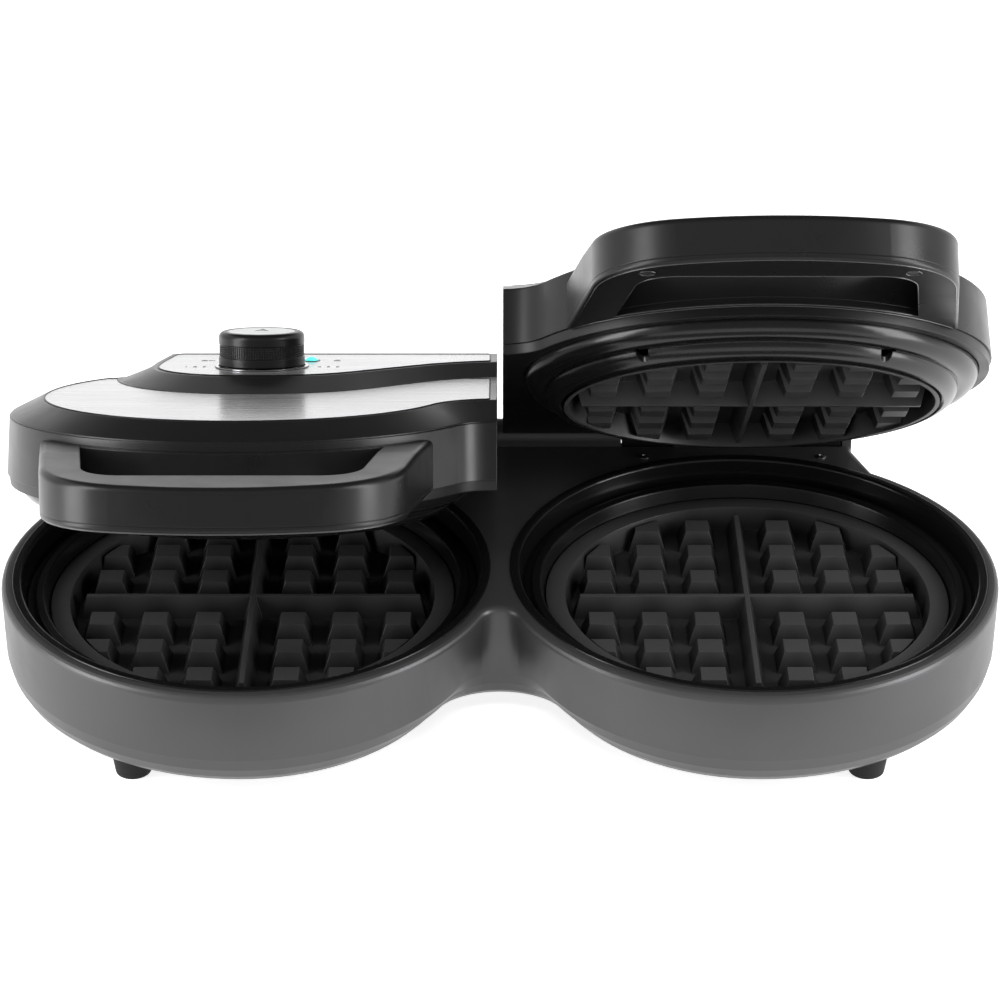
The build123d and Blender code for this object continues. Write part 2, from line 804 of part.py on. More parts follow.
def splash_ring():
    # Glossy ring that stands down round the upper plate and bulges out towards the rim
    crease = (splash_crease_radius, rim_height - splash_crease_drop)
    low = rim_height + cover_bottom + cover_skin
    outer_top = rim_height + 2
    inner_z = rim_height - splash_inner_drop
    inner = splash_inner_radius
    toe = (inner + 1.4, inner_z - splash_toe)
    belly = (splash_outer_radius - 2.6, rim_height - splash_belly_drop)
    seat = inner_z + 2.6
    line = Line((inner, inner_z + splash_toe), toe)
    line += ThreePointArc(toe, (inner + 5.5, inner_z + 1.7), crease)
    line += ThreePointArc(crease, belly, (splash_outer_radius, outer_top))
    skin = splash_outer_radius - splash_skin
    line += Polyline(
        (splash_outer_radius, outer_top), (splash_outer_radius, low + 0.05),
        (splash_outer_radius + 2.2, low + 0.05), (splash_outer_radius + 2.2, low + 1.6),
        (skin, low + 1.6), (skin, outer_top - 1),
    )
    bend = (splash_crease_radius, crease[1] + splash_skin + 0.2)
    hollow = (belly[0] - 1.1, belly[1] + splash_skin - 0.1)
    line += ThreePointArc((skin, outer_top - 1), hollow, bend)
    line += Polyline(bend, (inner + 3.8, seat), (inner, seat), (inner, inner_z + splash_toe))
    ring = revolve(Plane.XZ * make_face(line), Axis.Z)
    for x, y in splash_screw_places():
        ring += post(x, y, rim_height - 5.2, rim_height + 1.6, splash_boss_radius)
        ring -= post(x, y, rim_height - 12, rim_height - 3.2, screw_head_radius + 0.4)
        ring -= screw_hole(x, y, rim_height - 10, rim_height + 5)
    return Pos(-half_pitch, 0, 0) * ring


def handle_outline(grow, z):
    side = Polyline(
        (handle_root_x + grow, handle_root_y),
        (handle_corner_x + grow, handle_front_y + handle_front_sag - grow),
    )
    front = ThreePointArc(
        (-handle_corner_x - grow, handle_front_y + handle_front_sag - grow),
        (0, handle_front_y - grow),
        (handle_corner_x + grow, handle_front_y + handle_front_sag - grow),
    )
    other = mirror(side, about=Plane.YZ)
    back = Line((-handle_root_x - grow, handle_root_y), (handle_root_x + grow, handle_root_y))
    face = make_face(side + front + other + back)
    corners = face.vertices().sort_by(Axis.Y)[:2]
    return Pos(-half_pitch, 0, z) * fillet(corners, handle_corner_radius)


def handle_slot(grow, z):
    back_r = lid_foot_radius + handle_clearance + handle_back_strip
    far = -70
    line = Polyline(
        (-slot_half_width, far), (-slot_front_half_width, slot_front_y),
        (slot_front_half_width, slot_front_y), (slot_half_width, far), close=True,
    )
    face = make_face(line)
    corners = face.vertices().sort_by(Axis.Y)[:2]
    face = fillet(corners, slot_corner_radius)
    face -= Circle(back_r)
    return Pos(-half_pitch, 0, z) * face


def hollowed(solid, z0, z1):
    # Cuts the finger slot and the seat round the lid's wall out of a handle layer
    solid -= extrude(handle_slot(0, z0 - 1), z1 - z0 + 2)
    return solid - post(-half_pitch, 0, z0 - 1, z1 + 1, lid_foot_radius + handle_clearance)


def handle():
    low = rim_height + handle_bottom + handle_base_thickness
    high = rim_height + handle_bottom + handle_height + handle_rise
    grip = extrude(handle_outline(0, low), high - low)
    lean = degrees(atan2(handle_rise, -handle_front_y - lid_foot_radius))
    lid_cut = Pos(-half_pitch, handle_front_y, high - handle_rise) * Rot(lean, 0, 0)
    grip -= lid_cut * Pos(0, 100, 20) * Box(300, 320, 40)
    top = grip.faces().sort_by(Axis.Z)[-1]
    rims = top.edges().sort_by(Axis.Y)[:-1]
    grip = hollowed(fillet(rims, handle_top_round), low, high)
    for x in (-handle_screw[0], handle_screw[0]):
        grip -= screw_hole(x - half_pitch, handle_screw[1], low - 1, low + screw_length)
    for side in (-1, 1):
        grip -= root_screw_place(side) * post(0, 0, 0, screw_length + 1, screw_shank_radius + screw_fit)
    return grip


def handle_base():
    low = rim_height + handle_bottom
    plate = extrude(handle_outline(0, low), handle_base_thickness)
    rims = edges_at(plate, low).sort_by(Axis.Y)[:-1]
    plate = hollowed(fillet(rims, handle_bottom_round), low, low + handle_base_thickness)
    for x in (-handle_screw[0], handle_screw[0]):
        plate -= screw_hole(x - half_pitch, handle_screw[1], low - 1, low + 10)
        plate -= post(x - half_pitch, handle_screw[1], low - 1, low + 1.9, screw_head_radius + 0.3)
    return plate


def lid_screws():
    solids = [in_lid(one) for one in reflector_screws()]
    for x, y in splash_screw_places():
        solids.append(screw(x - half_pitch, y, rim_height - 3.2 - 0.02))
    for x in (-handle_screw[0], handle_screw[0]):
        seat = rim_height + handle_bottom + 1.88
        solids.append(screw(x - half_pitch, handle_screw[1], seat))
    for side in (-1, 1):
        solids.append(root_screw_place(side) * screw(0, 0, 0))
    return solids


def knob_foot():
    return deck_z() + panel_proud + knob_lift


def knob():
    low = knob_foot()
    top = low + knob_height
    grip = knob_radius - knob_grip_depth
    body = revolved([
        (0, low), (knob_radius - 0.6, low), (knob_radius, low + 0.6),
        (knob_radius, low + knob_grip_foot - 0.3), (grip, low + knob_grip_foot),
        (grip, low + knob_grip_top), (knob_radius, low + knob_grip_top + 0.3),
        (knob_radius, top), (cap_radius + 0.15, top), (cap_radius + 0.15, top - cap_depth),
        (0, top - cap_depth),
    ], {7: knob_shoulder_round})
    hole = post(0, 0, low - 1, top - cap_depth - 3, spindle_radius + spindle_fit)
    return Pos(dial_x, knob_y, 0) * (body - hole)


def knob_cap():
    top = knob_foot() + knob_height
    disc = post(0, 0, top - cap_depth + 0.05, top - 0.1, cap_radius)
    return Pos(dial_x, knob_y, 0) * disc


def spindle():
    top = knob_foot() + knob_height - cap_depth - 3.1
    return post(dial_x, knob_y, deck_z() - lid_wall - thermostat_height + 3, top, spindle_radius)


def dial_ring():
    low = deck_z() + panel_proud - panel_thickness + 0.05
    outer = dial_hole_radius - 0.15
    return Pos(dial_x, knob_y, 0) * revolved([
        (outer - dial_ring_width, low), (outer, low), (outer, low + 1.5),
        (outer - dial_ring_width, low + 1.5),
    ])


def thermostat():
    top = deck_z() - lid_wall - 0.05
    side = thermostat_size / 2
    low = top - thermostat_height
    body = block(-side, side, -side, side, low, top - 3) + post(0, 0, top - 4, top, 9)
    body -= post(0, 0, low - 1, top + 1, spindle_radius + spindle_fit)
    return Pos(dial_x, knob_y, 0) * body


def ready_light():
    top = deck_z() + panel_proud + 0.2
    lens = post(0, 0, top - 1.0, top, light_radius)
    lens += post(0, 0, deck_z() - lid_wall - 5, top - 0.5, light_radius - 1.6)
    return Pos(-half_pitch + light_x, light_y, 0) * lens


def opened(shape, angle):
    # Swings a shut lid part open about the hinge
    return shape.rotate(Axis((0, hinge_y, hinge_z), (-1, 0, 0)), angle)


def compound(solids):
    return Compound([one.solid() for one in solids])


def base_nodes():
    nodes = {
        "base_shell": base_shell(),
        "bottom_cover": bottom_cover(),
        "feet": compound(feet()),
        "base_screws": compound(base_screws()),
        "cord_inlet": cord_inlet(),
        "terminal_block": terminal_block(),
    }
    pairs = {
        "moat_ring": moat_ring(),
        "lower_plate": lower_plate(),
        "lower_element": in_base(element()),
        "lower_reflector": in_base(reflector()),
        "lower_fuse": in_base(thermal_fuse()),
        "lower_screws": in_base(compound(reflector_screws())),
        "hinge_pin": hinge_pin(),
    }
    for name, shape in pairs.items():
        nodes["left_" + name] = shape
        nodes["right_" + name] = mirrored(shape)
    return nodes


def lid_nodes():
    return {
        "upper_shell": upper_shell(),
        "under_cover": under_cover(),
        "splash_ring": splash_ring(),
        "front_panel": front_panel(),
        "deck_panel": deck_panel(),
        "upper_plate": upper_plate(),
        "upper_element": in_lid(element()),
        "upper_reflector": in_lid(reflector()),
        "handle": handle(),
        "handle_base": handle_base(),
        "lid_screws": compound(lid_screws()),
        "dial_ring": dial_ring(),
        "thermostat": thermostat(),
        "ready_light": ready_light(),
    }


def dial_nodes():
    return {"knob": knob(), "knob_cap": knob_cap(), "spindle": spindle()}


def all_nodes():
    nodes = base_nodes()
    for group in (lid_nodes(), dial_nodes()):
        for name, shape in group.items():
            nodes["left_" + name] = opened(shape, left_open)
            nodes["right_" + name] = opened(mirrored(shape), right_open)
    return nodes


def middle_y(nodes):
    boxes = [shape.bounding_box() for shape in nodes.values()]
    return (min(b.min.Y for b in boxes) + max(b.max.Y for b in boxes)) / 2


parts = all_nodes()
origin_y = middle_y(parts)
os.makedirs("parts", exist_ok=True)
for node, shape in parts.items():
    export_step(Pos(0, -origin_y, 0) * shape, "parts/" + node + ".step")
print("nodes", len(parts), "origin at y", round(origin_y, 3))
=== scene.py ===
import bpy
import bmesh
import json
from math import cos, pi, radians, sin
from mathutils import Matrix, Vector


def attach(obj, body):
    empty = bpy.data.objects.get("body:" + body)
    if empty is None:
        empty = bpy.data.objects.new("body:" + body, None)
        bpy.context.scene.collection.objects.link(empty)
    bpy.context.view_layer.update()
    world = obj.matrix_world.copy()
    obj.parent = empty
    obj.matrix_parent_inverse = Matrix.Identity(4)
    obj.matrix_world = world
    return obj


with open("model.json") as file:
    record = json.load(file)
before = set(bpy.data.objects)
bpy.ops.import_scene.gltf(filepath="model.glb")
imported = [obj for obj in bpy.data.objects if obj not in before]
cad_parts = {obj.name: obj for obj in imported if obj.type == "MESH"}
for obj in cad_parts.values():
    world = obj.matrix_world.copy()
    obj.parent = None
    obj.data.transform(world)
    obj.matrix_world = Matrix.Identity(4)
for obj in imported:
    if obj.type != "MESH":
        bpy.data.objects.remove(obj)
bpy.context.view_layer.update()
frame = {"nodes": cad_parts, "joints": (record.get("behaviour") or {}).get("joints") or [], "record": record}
scene = bpy.context.scene
joints = {j["name"]: j for j in frame["joints"]}
print("frame loaded:", len(frame["nodes"]), "nodes")

# A long lens, level, looking down on the front
shot = {"lens": 113.58, "sensor": 36.0, "pitchDeg": 28.46, "back": 1.2955, "height": 0.8028,
        "clipEnd": 50.0}

cameraData = bpy.data.cameras.new("shotCamera")
cameraData.lens = shot["lens"]
cameraData.sensor_width = shot["sensor"]
cameraData.clip_end = shot["clipEnd"]
camera = bpy.data.objects.new("shotCamera", cameraData)
camera.location = (0, -shot["back"], shot["height"])
camera.rotation_euler = (radians(90 - shot["pitchDeg"]), 0, 0)
scene.collection.objects.link(camera)
scene.camera = camera
scene.view_settings.view_transform = "Standard"
print("camera set")


def newMaterial(name):
    material = bpy.data.materials.new(name)
    material.use_nodes = True
    tree = material.node_tree
    return material, tree, tree.nodes["Principled BSDF"]


def setInputs(node, values):
    for label, value in values.items():
        node.inputs[label].default_value = value


def addNode(tree, kind, **values):
    node = tree.nodes.new(kind)
    setInputs(node, values)
    return node


def addMath(tree, operation, first, second):
    # Each operand is a number or the socket that gives it
    node = tree.nodes.new("ShaderNodeMath")
    node.operation = operation
    for operand, socket in zip((first, second), node.inputs):
        if isinstance(operand, float):
            socket.default_value = operand
        else:
            tree.links.new(operand, socket)
    return node.outputs[0]


def objectMapping(tree, scale=(1, 1, 1)):
    coords = tree.nodes.new("ShaderNodeTexCoord")
    mapping = addNode(tree, "ShaderNodeMapping", Scale=scale)
    tree.links.new(coords.outputs["Object"], mapping.inputs["Vector"])
    return mapping.outputs["Vector"]


# Where a noise is cut, how finely it is drawn, and the samples for soft edges and for the painted shade in
# hollows
texture = {"low": 0.3, "high": 0.7, "rampLow": 0.35, "rampHigh": 0.65, "driftDetail": 2.0,
           "grainDetail": 4.0, "lineDetail": 5.0, "lineRoughness": 0.65, "edgeSamples": 6,
           "hollowSamples": 8}


def noiseTexture(tree, vector, scale, detail=3.0, roughness=0.55):
    noise = addNode(tree, "ShaderNodeTexNoise", Scale=scale, Detail=detail, Roughness=roughness)
    tree.links.new(vector, noise.inputs["Vector"])
    return noise.outputs["Fac"]


def stretched(tree, value, low, high):
    # Spreads the middle of a noise over low to high
    ranged = addNode(tree, "ShaderNodeMapRange")
    setInputs(ranged, {"From Min": texture["low"], "From Max": texture["high"],
                       "To Min": low, "To Max": high})
    tree.links.new(value, ranged.inputs["Value"])
    return ranged.outputs["Result"]


def tinted(tree, value, dark, light):
    # Colour between dark and light, by the middle of a noise
    ramp = tree.nodes.new("ShaderNodeValToRGB")
    ends = ((texture["rampLow"], dark), (texture["rampHigh"], light))
    for element, (position, color) in zip(ramp.color_ramp.elements, ends):
        element.position = position
        element.color = (*color, 1)
    tree.links.new(value, ramp.inputs["Fac"])
    return ramp.outputs["Color"]


def bumped(tree, shader, height, look):
    # Fine relief, over edges that are softened by a small radius
    bump = addNode(tree, "ShaderNodeBump", Strength=look["grain"], Distance=look["grainDepth"])
    edge = addNode(tree, "ShaderNodeBevel", Radius=look["edge"])
    edge.samples = texture["edgeSamples"]
    tree.links.new(edge.outputs["Normal"], bump.inputs["Normal"])
    tree.links.new(height, bump.inputs["Height"])
    tree.links.new(bump.outputs["Normal"], shader.inputs["Normal"])


def paintedRecessShade(tree, color, look):
    # Painted shade: the colour is darkened by ambient occlusion where the form closes in on itself
    hollow = addNode(tree, "ShaderNodeAmbientOcclusion", Distance=look["hollowReach"])
    hollow.samples = texture["hollowSamples"]
    depth = addMath(tree, "POWER", hollow.outputs["AO"], look["hollow"])
    mix = tree.nodes.new("ShaderNodeMix")
    mix.data_type = "RGBA"
    mix.blend_type = "MULTIPLY"
    factor, first, second = (next(s for s in mix.inputs if s.identifier == name)
                             for name in ("Factor_Float", "A_Color", "B_Color"))
    factor.default_value = 1.0
    tree.links.new(color, first)
    tree.links.new(depth, second)
    return next(s for s in mix.outputs if s.identifier == "Result_Color")


def shaded(color, factor):
    return tuple(min(1.0, c * factor) for c in color)


# Moulded and coated surfaces: the plain look, and what each of the others changes in it
plainLook = {
    "color": (0.008, 0.008, 0.0083), "drift": 0.1, "driftScale": 9.0, "roughness": 0.34,
    "glossDrift": 0.03, "glossScale": 60.0, "grain": 0.12, "grainScale": 1400.0,
    "grainDepth": 0.0002, "edge": 0.0007, "metallic": 0.0, "specular": 0.28, "hollow": 0.0,
    "hollowReach": 0.014,
}

looks = {
    "housing": {"color": (0.084, 0.084, 0.0863), "metallic": 0.6, "roughness": 0.4, "drift": 0.05,
                "grain": 0.08, "grainScale": 3200.0, "grainDepth": 0.0001, "edge": 0.0004},
    "underside": {"color": (0.02, 0.02, 0.0205), "roughness": 0.6, "grain": 0.3},
    "rubber": {"color": (0.012, 0.012, 0.012), "roughness": 0.7, "grain": 0.3,
               "grainScale": 900.0},
    # The plate coating carries painted shade in the hollows between its pegs
    "plate_coating": {"color": (0.06, 0.06, 0.0612), "roughness": 0.38, "grain": 0.15,
                      "grainScale": 1800.0, "edge": 0.0006, "specular": 0.4, "hollow": 2.2},
    "gloss_black": {"color": (0.006, 0.006, 0.0063), "roughness": 0.2, "glossDrift": 0.02,
                    "grain": 0.04, "edge": 0.0009, "specular": 0.35},
    "lid_black": {"roughness": 0.3, "grain": 0.05, "grainScale": 900.0, "specular": 0.34,
                  "edge": 0.0006},
    "bead_shine": {"color": (0.03, 0.03, 0.0305), "roughness": 0.22, "grain": 0.02,
                   "edge": 0.0001, "specular": 0.9},
    "cover_black": {"color": (0.01, 0.01, 0.0103), "roughness": 0.36, "edge": 0.0008},
    "handle_black": {"roughness": 0.3, "grain": 0.05, "grainScale": 900.0, "edge": 0.0009},
    "knob_black": {"color": (0.006, 0.006, 0.0063), "roughness": 0.3, "grain": 0.05,
                   "edge": 0.0004},
    "ceramic": {"color": (0.7, 0.68, 0.62), "roughness": 0.7, "drift": 0.04, "grain": 0.2},
    "trim_light": {"color": (0.62, 0.64, 0.64), "roughness": 0.3, "drift": 0.03, "specular": 0.5},
}


def mouldedFinish(name, look):
    # Moulded or coated surface: a fine grain in the bump, a slow drift in colour and gloss, and painted
    # shade in the hollows where the look asks for it
    material, tree, shader = newMaterial(name)
    vector = objectMapping(tree)
    drift = noiseTexture(tree, vector, look["driftScale"], texture["driftDetail"])
    color = tinted(tree, drift, shaded(look["color"], 1 - look["drift"]),
                   shaded(look["color"], 1 + look["drift"]))
    # Painted shade in the hollows, for looks that set its strength
    if look["hollow"]:
        color = paintedRecessShade(tree, color, look)
    tree.links.new(color, shader.inputs["Base Color"])
    gloss = stretched(tree, noiseTexture(tree, vector, look["glossScale"]),
                      look["roughness"] - look["glossDrift"],
                      look["roughness"] + look["glossDrift"])
    tree.links.new(gloss, shader.inputs["Roughness"])
    grain = noiseTexture(tree, vector, look["grainScale"], texture["grainDetail"])
    bumped(tree, shader, grain, look)
    setInputs(shader, {"Metallic": look["metallic"], "Specular IOR Level": look["specular"]})
    return material


# Metals, in the same way
plainMetal = {"stretch": 1.0, "glossDown": 0.05, "glossUp": 0.07, "grainDepth": 0.0001,
              "edge": 0.0003, "metallic": 1.0}

metalLooks = {
    "brushed_panel": {"color": (0.53, 0.53, 0.54), "drift": 0.04, "stretch": 60.0,
                      "lineScale": 14.0, "roughness": 0.24, "grain": 0.04, "metallic": 0.78},
    "screws": {"color": (0.2, 0.2, 0.205), "drift": 0.1, "lineScale": 500.0,
               "roughness": 0.34, "grain": 0.1},
    "steel_rod": {"color": (0.62, 0.62, 0.63), "drift": 0.08, "stretch": 40.0, "lineScale": 30.0,
                  "roughness": 0.22, "grain": 0.06},
    "dial_chrome": {"color": (0.3, 0.3, 0.31), "drift": 0.08, "lineScale": 120.0,
                    "roughness": 0.14, "grain": 0.03},
    "element": {"color": (0.32, 0.29, 0.26), "drift": 0.3, "lineScale": 90.0,
                "roughness": 0.45, "grain": 0.2, "metallic": 0.9},
    "reflector": {"color": (0.75, 0.75, 0.76), "drift": 0.1, "lineScale": 60.0,
                  "roughness": 0.25, "grain": 0.08},
}


def metalFinish(name, look):
    # Bare metal with fine lines drawn along X, or evenly mottled where stretch is 1
    material, tree, shader = newMaterial(name)
    fine = objectMapping(tree, (1, look["stretch"], look["stretch"]))
    lines = noiseTexture(tree, fine, look["lineScale"], texture["lineDetail"],
                         texture["lineRoughness"])
    color = tinted(tree, lines, shaded(look["color"], 1 - look["drift"]), look["color"])
    tree.links.new(color, shader.inputs["Base Color"])
    gloss = stretched(tree, lines, look["roughness"] - look["glossDown"],
                      look["roughness"] + look["glossUp"])
    tree.links.new(gloss, shader.inputs["Roughness"])
    bumped(tree, shader, lines, look)
    setInputs(shader, {"Metallic": look["metallic"]})
    return material


lensLook = {"dark": (0.06, 0.55, 0.5), "light": (0.12, 0.75, 0.7), "glow": (0.1, 0.76, 0.7, 1),
            "strength": 0.9, "roughness": 0.2, "cloudScale": 300.0}


def lensFinish(name):
    # Clear cyan lens with a lamp behind it
    material, tree, shader = newMaterial(name)
    cloud = noiseTexture(tree, objectMapping(tree), lensLook["cloudScale"])
    tree.links.new(tinted(tree, cloud, lensLook["dark"], lensLook["light"]),
                   shader.inputs["Base Color"])
    setInputs(shader, {"Emission Color": lensLook["glow"],
                       "Emission Strength": lensLook["strength"],
                       "Roughness": lensLook["roughness"]})
    return material


finishes = {name: mouldedFinish(name, {**plainLook, **look}) for name, look in looks.items()}
finishes.update({name: metalFinish(name, {**plainMetal, **look})
                 for name, look in metalLooks.items()})
finishes["lens"] = lensFinish("lens")

slotOf = {part["node"]: part["material_slot"] for part in frame["record"]["subparts"]}
for nodeName, nodeObject in frame["nodes"].items():
    nodeObject.data.materials.clear()
    nodeObject.data.materials.append(finishes[slotOf[nodeName]])
print("finishes:", len(finishes))


# White floor and surround, which light the part far less than they show
white = (1, 1, 1, 1)
studio = {"floorSize": 8.0, "floorColor": (0.86, 0.86, 0.86), "floorLift": 0.85,
          "floorDim": 0.995, "speckleScale": 3.0, "floorRoughness": 0.9, "floorSpecular": 0.1,
          "worldStrength": 0.18}


def seenRays(tree):
    # 1 for what the eye sees, directly, in a reflection or through glass
    path = tree.nodes.new("ShaderNodeLightPath")
    total = path.outputs["Is Camera Ray"]
    for kind in ("Is Glossy Ray", "Is Transmission Ray"):
        total = addMath(tree, "MAXIMUM", total, path.outputs[kind])
    return total


def makeFloor():
    mesh = bpy.data.meshes.new("studioFloor")
    half = studio["floorSize"] / 2
    corners = [(-half, -half, 0), (half, -half, 0), (half, half, 0), (-half, half, 0)]
    mesh.from_pydata(corners, [], [(0, 1, 2, 3)])
    floor = bpy.data.objects.new("studioFloor", mesh)
    scene.collection.objects.link(floor)
    material, tree, shader = newMaterial("studioFloor")
    speckle = noiseTexture(tree, objectMapping(tree), studio["speckleScale"])
    color = tinted(tree, speckle, shaded(studio["floorColor"], studio["floorDim"]),
                   studio["floorColor"])
    tree.links.new(color, shader.inputs["Base Color"])
    setInputs(shader, {"Roughness": studio["floorRoughness"],
                       "Specular IOR Level": studio["floorSpecular"], "Emission Color": white})
    lift = addMath(tree, "MULTIPLY", seenRays(tree), studio["floorLift"])
    tree.links.new(lift, shader.inputs["Emission Strength"])
    mesh.materials.append(material)


def makeWorld():
    world = bpy.data.worlds.new("studioWorld")
    world.use_nodes = True
    tree = world.node_tree
    background = tree.nodes["Background"]
    mix = tree.nodes.new("ShaderNodeMix")
    mix.data_type = "FLOAT"
    setInputs(mix, {"A": studio["worldStrength"], "B": 1.0})
    tree.links.new(seenRays(tree), mix.inputs["Factor"])
    setInputs(background, {"Color": white})
    tree.links.new(mix.outputs["Result"], background.inputs["Strength"])
    scene.world = world


# Dark cards in front, on the table and overhead, seen only in reflections. They keep black
# plastic dark. Low and high are the Y and Z of a card's two ends
cards = {
    "frontCard": {"low": (-2.1, 0.12), "high": (-0.9, 3.4), "halfWidth": 1.7, "glow": 0.42},
    "tableCard": {"low": (-0.19, 0.003), "high": (-0.46, 0.003), "halfWidth": 0.42, "glow": 0.3},
    "ceilingCard": {"low": (-0.9, 3.4), "high": (5.5, 1.5), "halfWidth": 2.6, "glow": 0.02},
}
cardLook = {"color": (0.01, 0.01, 0.01), "dim": 0.8, "weaveScale": 200.0, "roughness": 1.0}


def makeCard(name, card):
    mesh = bpy.data.meshes.new(name)
    half = card["halfWidth"]
    corners = [(x, y, z) for y, z in (card["low"], card["high"]) for x in (-half, half)]
    mesh.from_pydata(corners, [], [(0, 1, 3, 2)])
    sheet = bpy.data.objects.new(name, mesh)
    scene.collection.objects.link(sheet)
    material, tree, shader = newMaterial(name)
    weave = noiseTexture(tree, objectMapping(tree), cardLook["weaveScale"])
    color = tinted(tree, weave, shaded(cardLook["color"], cardLook["dim"]), cardLook["color"])
    tree.links.new(color, shader.inputs["Base Color"])
    setInputs(shader, {"Roughness": cardLook["roughness"], "Emission Color": white,
                       "Emission Strength": card["glow"]})
    mesh.materials.append(material)
    sheet.visible_camera = False
    sheet.visible_diffuse = False
    sheet.visible_shadow = False


# A bank on each side, a soft light overhead and a key in front. The last two show in no reflection
lamps = {
    "leftBank":{"at": (-0.95, -0.31, 0.5), "aim": (0, 0, 0.5), "size": (0.35, 1.0), "power": 9.0},
    "rightBank": {"at": (0.95, -0.31, 0.5), "aim": (0, 0, 0.5), "size": (0.35, 1.0), "power": 9.0},
    "overhead": {"at": (0, 0.3, 1.7), "aim": (0, 0, 0.08), "size": (1.8, 0.9), "power": 10.0,
                 "glossy": False},
    "key": {"at": (0, -1.5, 2.0), "aim": (0, 0, 0.15), "size": (1.4, 0.5), "power": 26.0,
            "glossy": False},
}


def makeLamp(name, lamp):
    light = bpy.data.lights.new(name, "AREA")
    light.shape = "RECTANGLE"
    light.size, light.size_y = lamp["size"]
    light.energy = lamp["power"]
    lampObject = bpy.data.objects.new(name, light)
    place = Vector(lamp["at"])
    lampObject.location = place
    lampObject.rotation_euler = (Vector(lamp["aim"]) - place).to_track_quat("-Z", "Y").to_euler()
    lampObject.visible_glossy = lamp.get("glossy", True)
    scene.collection.objects.link(lampObject)


makeFloor()
makeWorld()
for cardName, card in cards.items():
    makeCard(cardName, card)
for lampName, lamp in lamps.items():
    makeLamp(lampName, lamp)
print("studio lit:", len(lamps), "lamps")


# Pieces on the tilted lids are drawn about the dial, then put in place
sides = {"left": -1, "right": 1}


def knobPlace(side):
    # Frame on the lid's deck at the knob's centre, Z along the knob's axis
    at = Vector(joints[side + "_knob_turn"]["pos_m"])
    axis = Vector(joints[side + "_knob_turn"]["axis"])
    turn = Vector((0, 0, 1)).rotation_difference(axis).to_matrix().to_4x4()
    return Matrix.Translation(at) @ turn


def addObject(name, mesh, slotName, body):
    piece = bpy.data.objects.new(name, mesh)
    scene.collection.objects.link(piece)
    if not mesh.materials:
        mesh.materials.append(finishes[slotName])
    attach(piece, body)
    return piece


def evaluatedMesh(maker, name):
    # Plain mesh of an object as its modifiers or its text leave it
    scene.collection.objects.link(maker)
    bpy.context.view_layer.update()
    shown = maker.evaluated_get(bpy.context.evaluated_depsgraph_get())
    mesh = bpy.data.meshes.new_from_object(shown)
    mesh.name = name
    bpy.data.objects.remove(maker)
    return mesh


def newGroup(name, wanted, takesGeometry):
    # Geometry nodes with the wanted inputs and a finish, and the keys that set them
    tree = bpy.data.node_groups.new(name, "GeometryNodeTree")
    face = tree.interface
    if takesGeometry:
        face.new_socket(name="Geometry", in_out="INPUT", socket_type="NodeSocketGeometry")
    sockets = {label: face.new_socket(name=label, in_out="INPUT", socket_type=kind).identifier
               for label, kind in {**wanted, "finish": "NodeSocketMaterial"}.items()}
    face.new_socket(name="Geometry", in_out="OUTPUT", socket_type="NodeSocketGeometry")
    return tree, sockets, tree.nodes.new("NodeGroupInput")


def closeGroup(tree, given, instances):
    # Makes the instances real, in the given finish
    real = tree.nodes.new("GeometryNodeRealizeInstances")
    paint = tree.nodes.new("GeometryNodeSetMaterial")
    result = tree.nodes.new("NodeGroupOutput")
    tree.links.new(instances, real.inputs["Geometry"])
    tree.links.new(real.outputs["Geometry"], paint.inputs["Geometry"])
    tree.links.new(given.outputs["finish"], paint.inputs["Material"])
    tree.links.new(paint.outputs["Geometry"], result.inputs["Geometry"])


def addGroup(maker, tree, sockets, values):
    modifier = maker.modifiers.new(tree.name, "NODES")
    modifier.node_group = tree
    for label, value in values.items():
        modifier[sockets[label]] = value


def meshFrom(form, name, smoothDeg=35):
    mesh = bpy.data.meshes.new(name)
    bmesh.ops.recalc_face_normals(form, faces=form.faces)
    form.to_mesh(mesh)
    form.free()
    mesh.shade_smooth()
    mesh.set_sharp_from_angle(angle=radians(smoothDeg))
    return mesh


def lathed(points, steps):
    # Closed turned form from radius and height points, about the local Z axis
    form = bmesh.new()
    rings = []
    for radius, height in points:
        if radius == 0:
            rings.append([form.verts.new((0, 0, height))])
            continue
        rings.append([form.verts.new((radius * cos(2 * pi * i / steps),
                                      radius * sin(2 * pi * i / steps), height))
                      for i in range(steps)])
    for low, high in zip(rings, rings[1:]):
        for i in range(steps):
            j = (i + 1) % steps
            corners = [low[i % len(low)], low[j % len(low)], high[j % len(high)],
                       high[i % len(high)]]
            form.faces.new(list(dict.fromkeys(corners)))
    return form


# Knurled band round the knob
knurl = {"bandRadius": 0.0203, "count": 104, "rows": 5, "rowPitch": 0.00108, "foot": 0.00635,
         "studSize": 0.0012, "studHeight": 0.00038, "studSides": 4, "studTop": 0.35,
         "studTurnDeg": 45, "studScale": (0.7, 0.5, 1)}


knurlInputs = {"bandRadius": "NodeSocketFloat", "count": "NodeSocketInt", "rows": "NodeSocketInt",
               "rowPitch": "NodeSocketFloat", "studSize": "NodeSocketFloat",
               "studHeight": "NodeSocketFloat"}


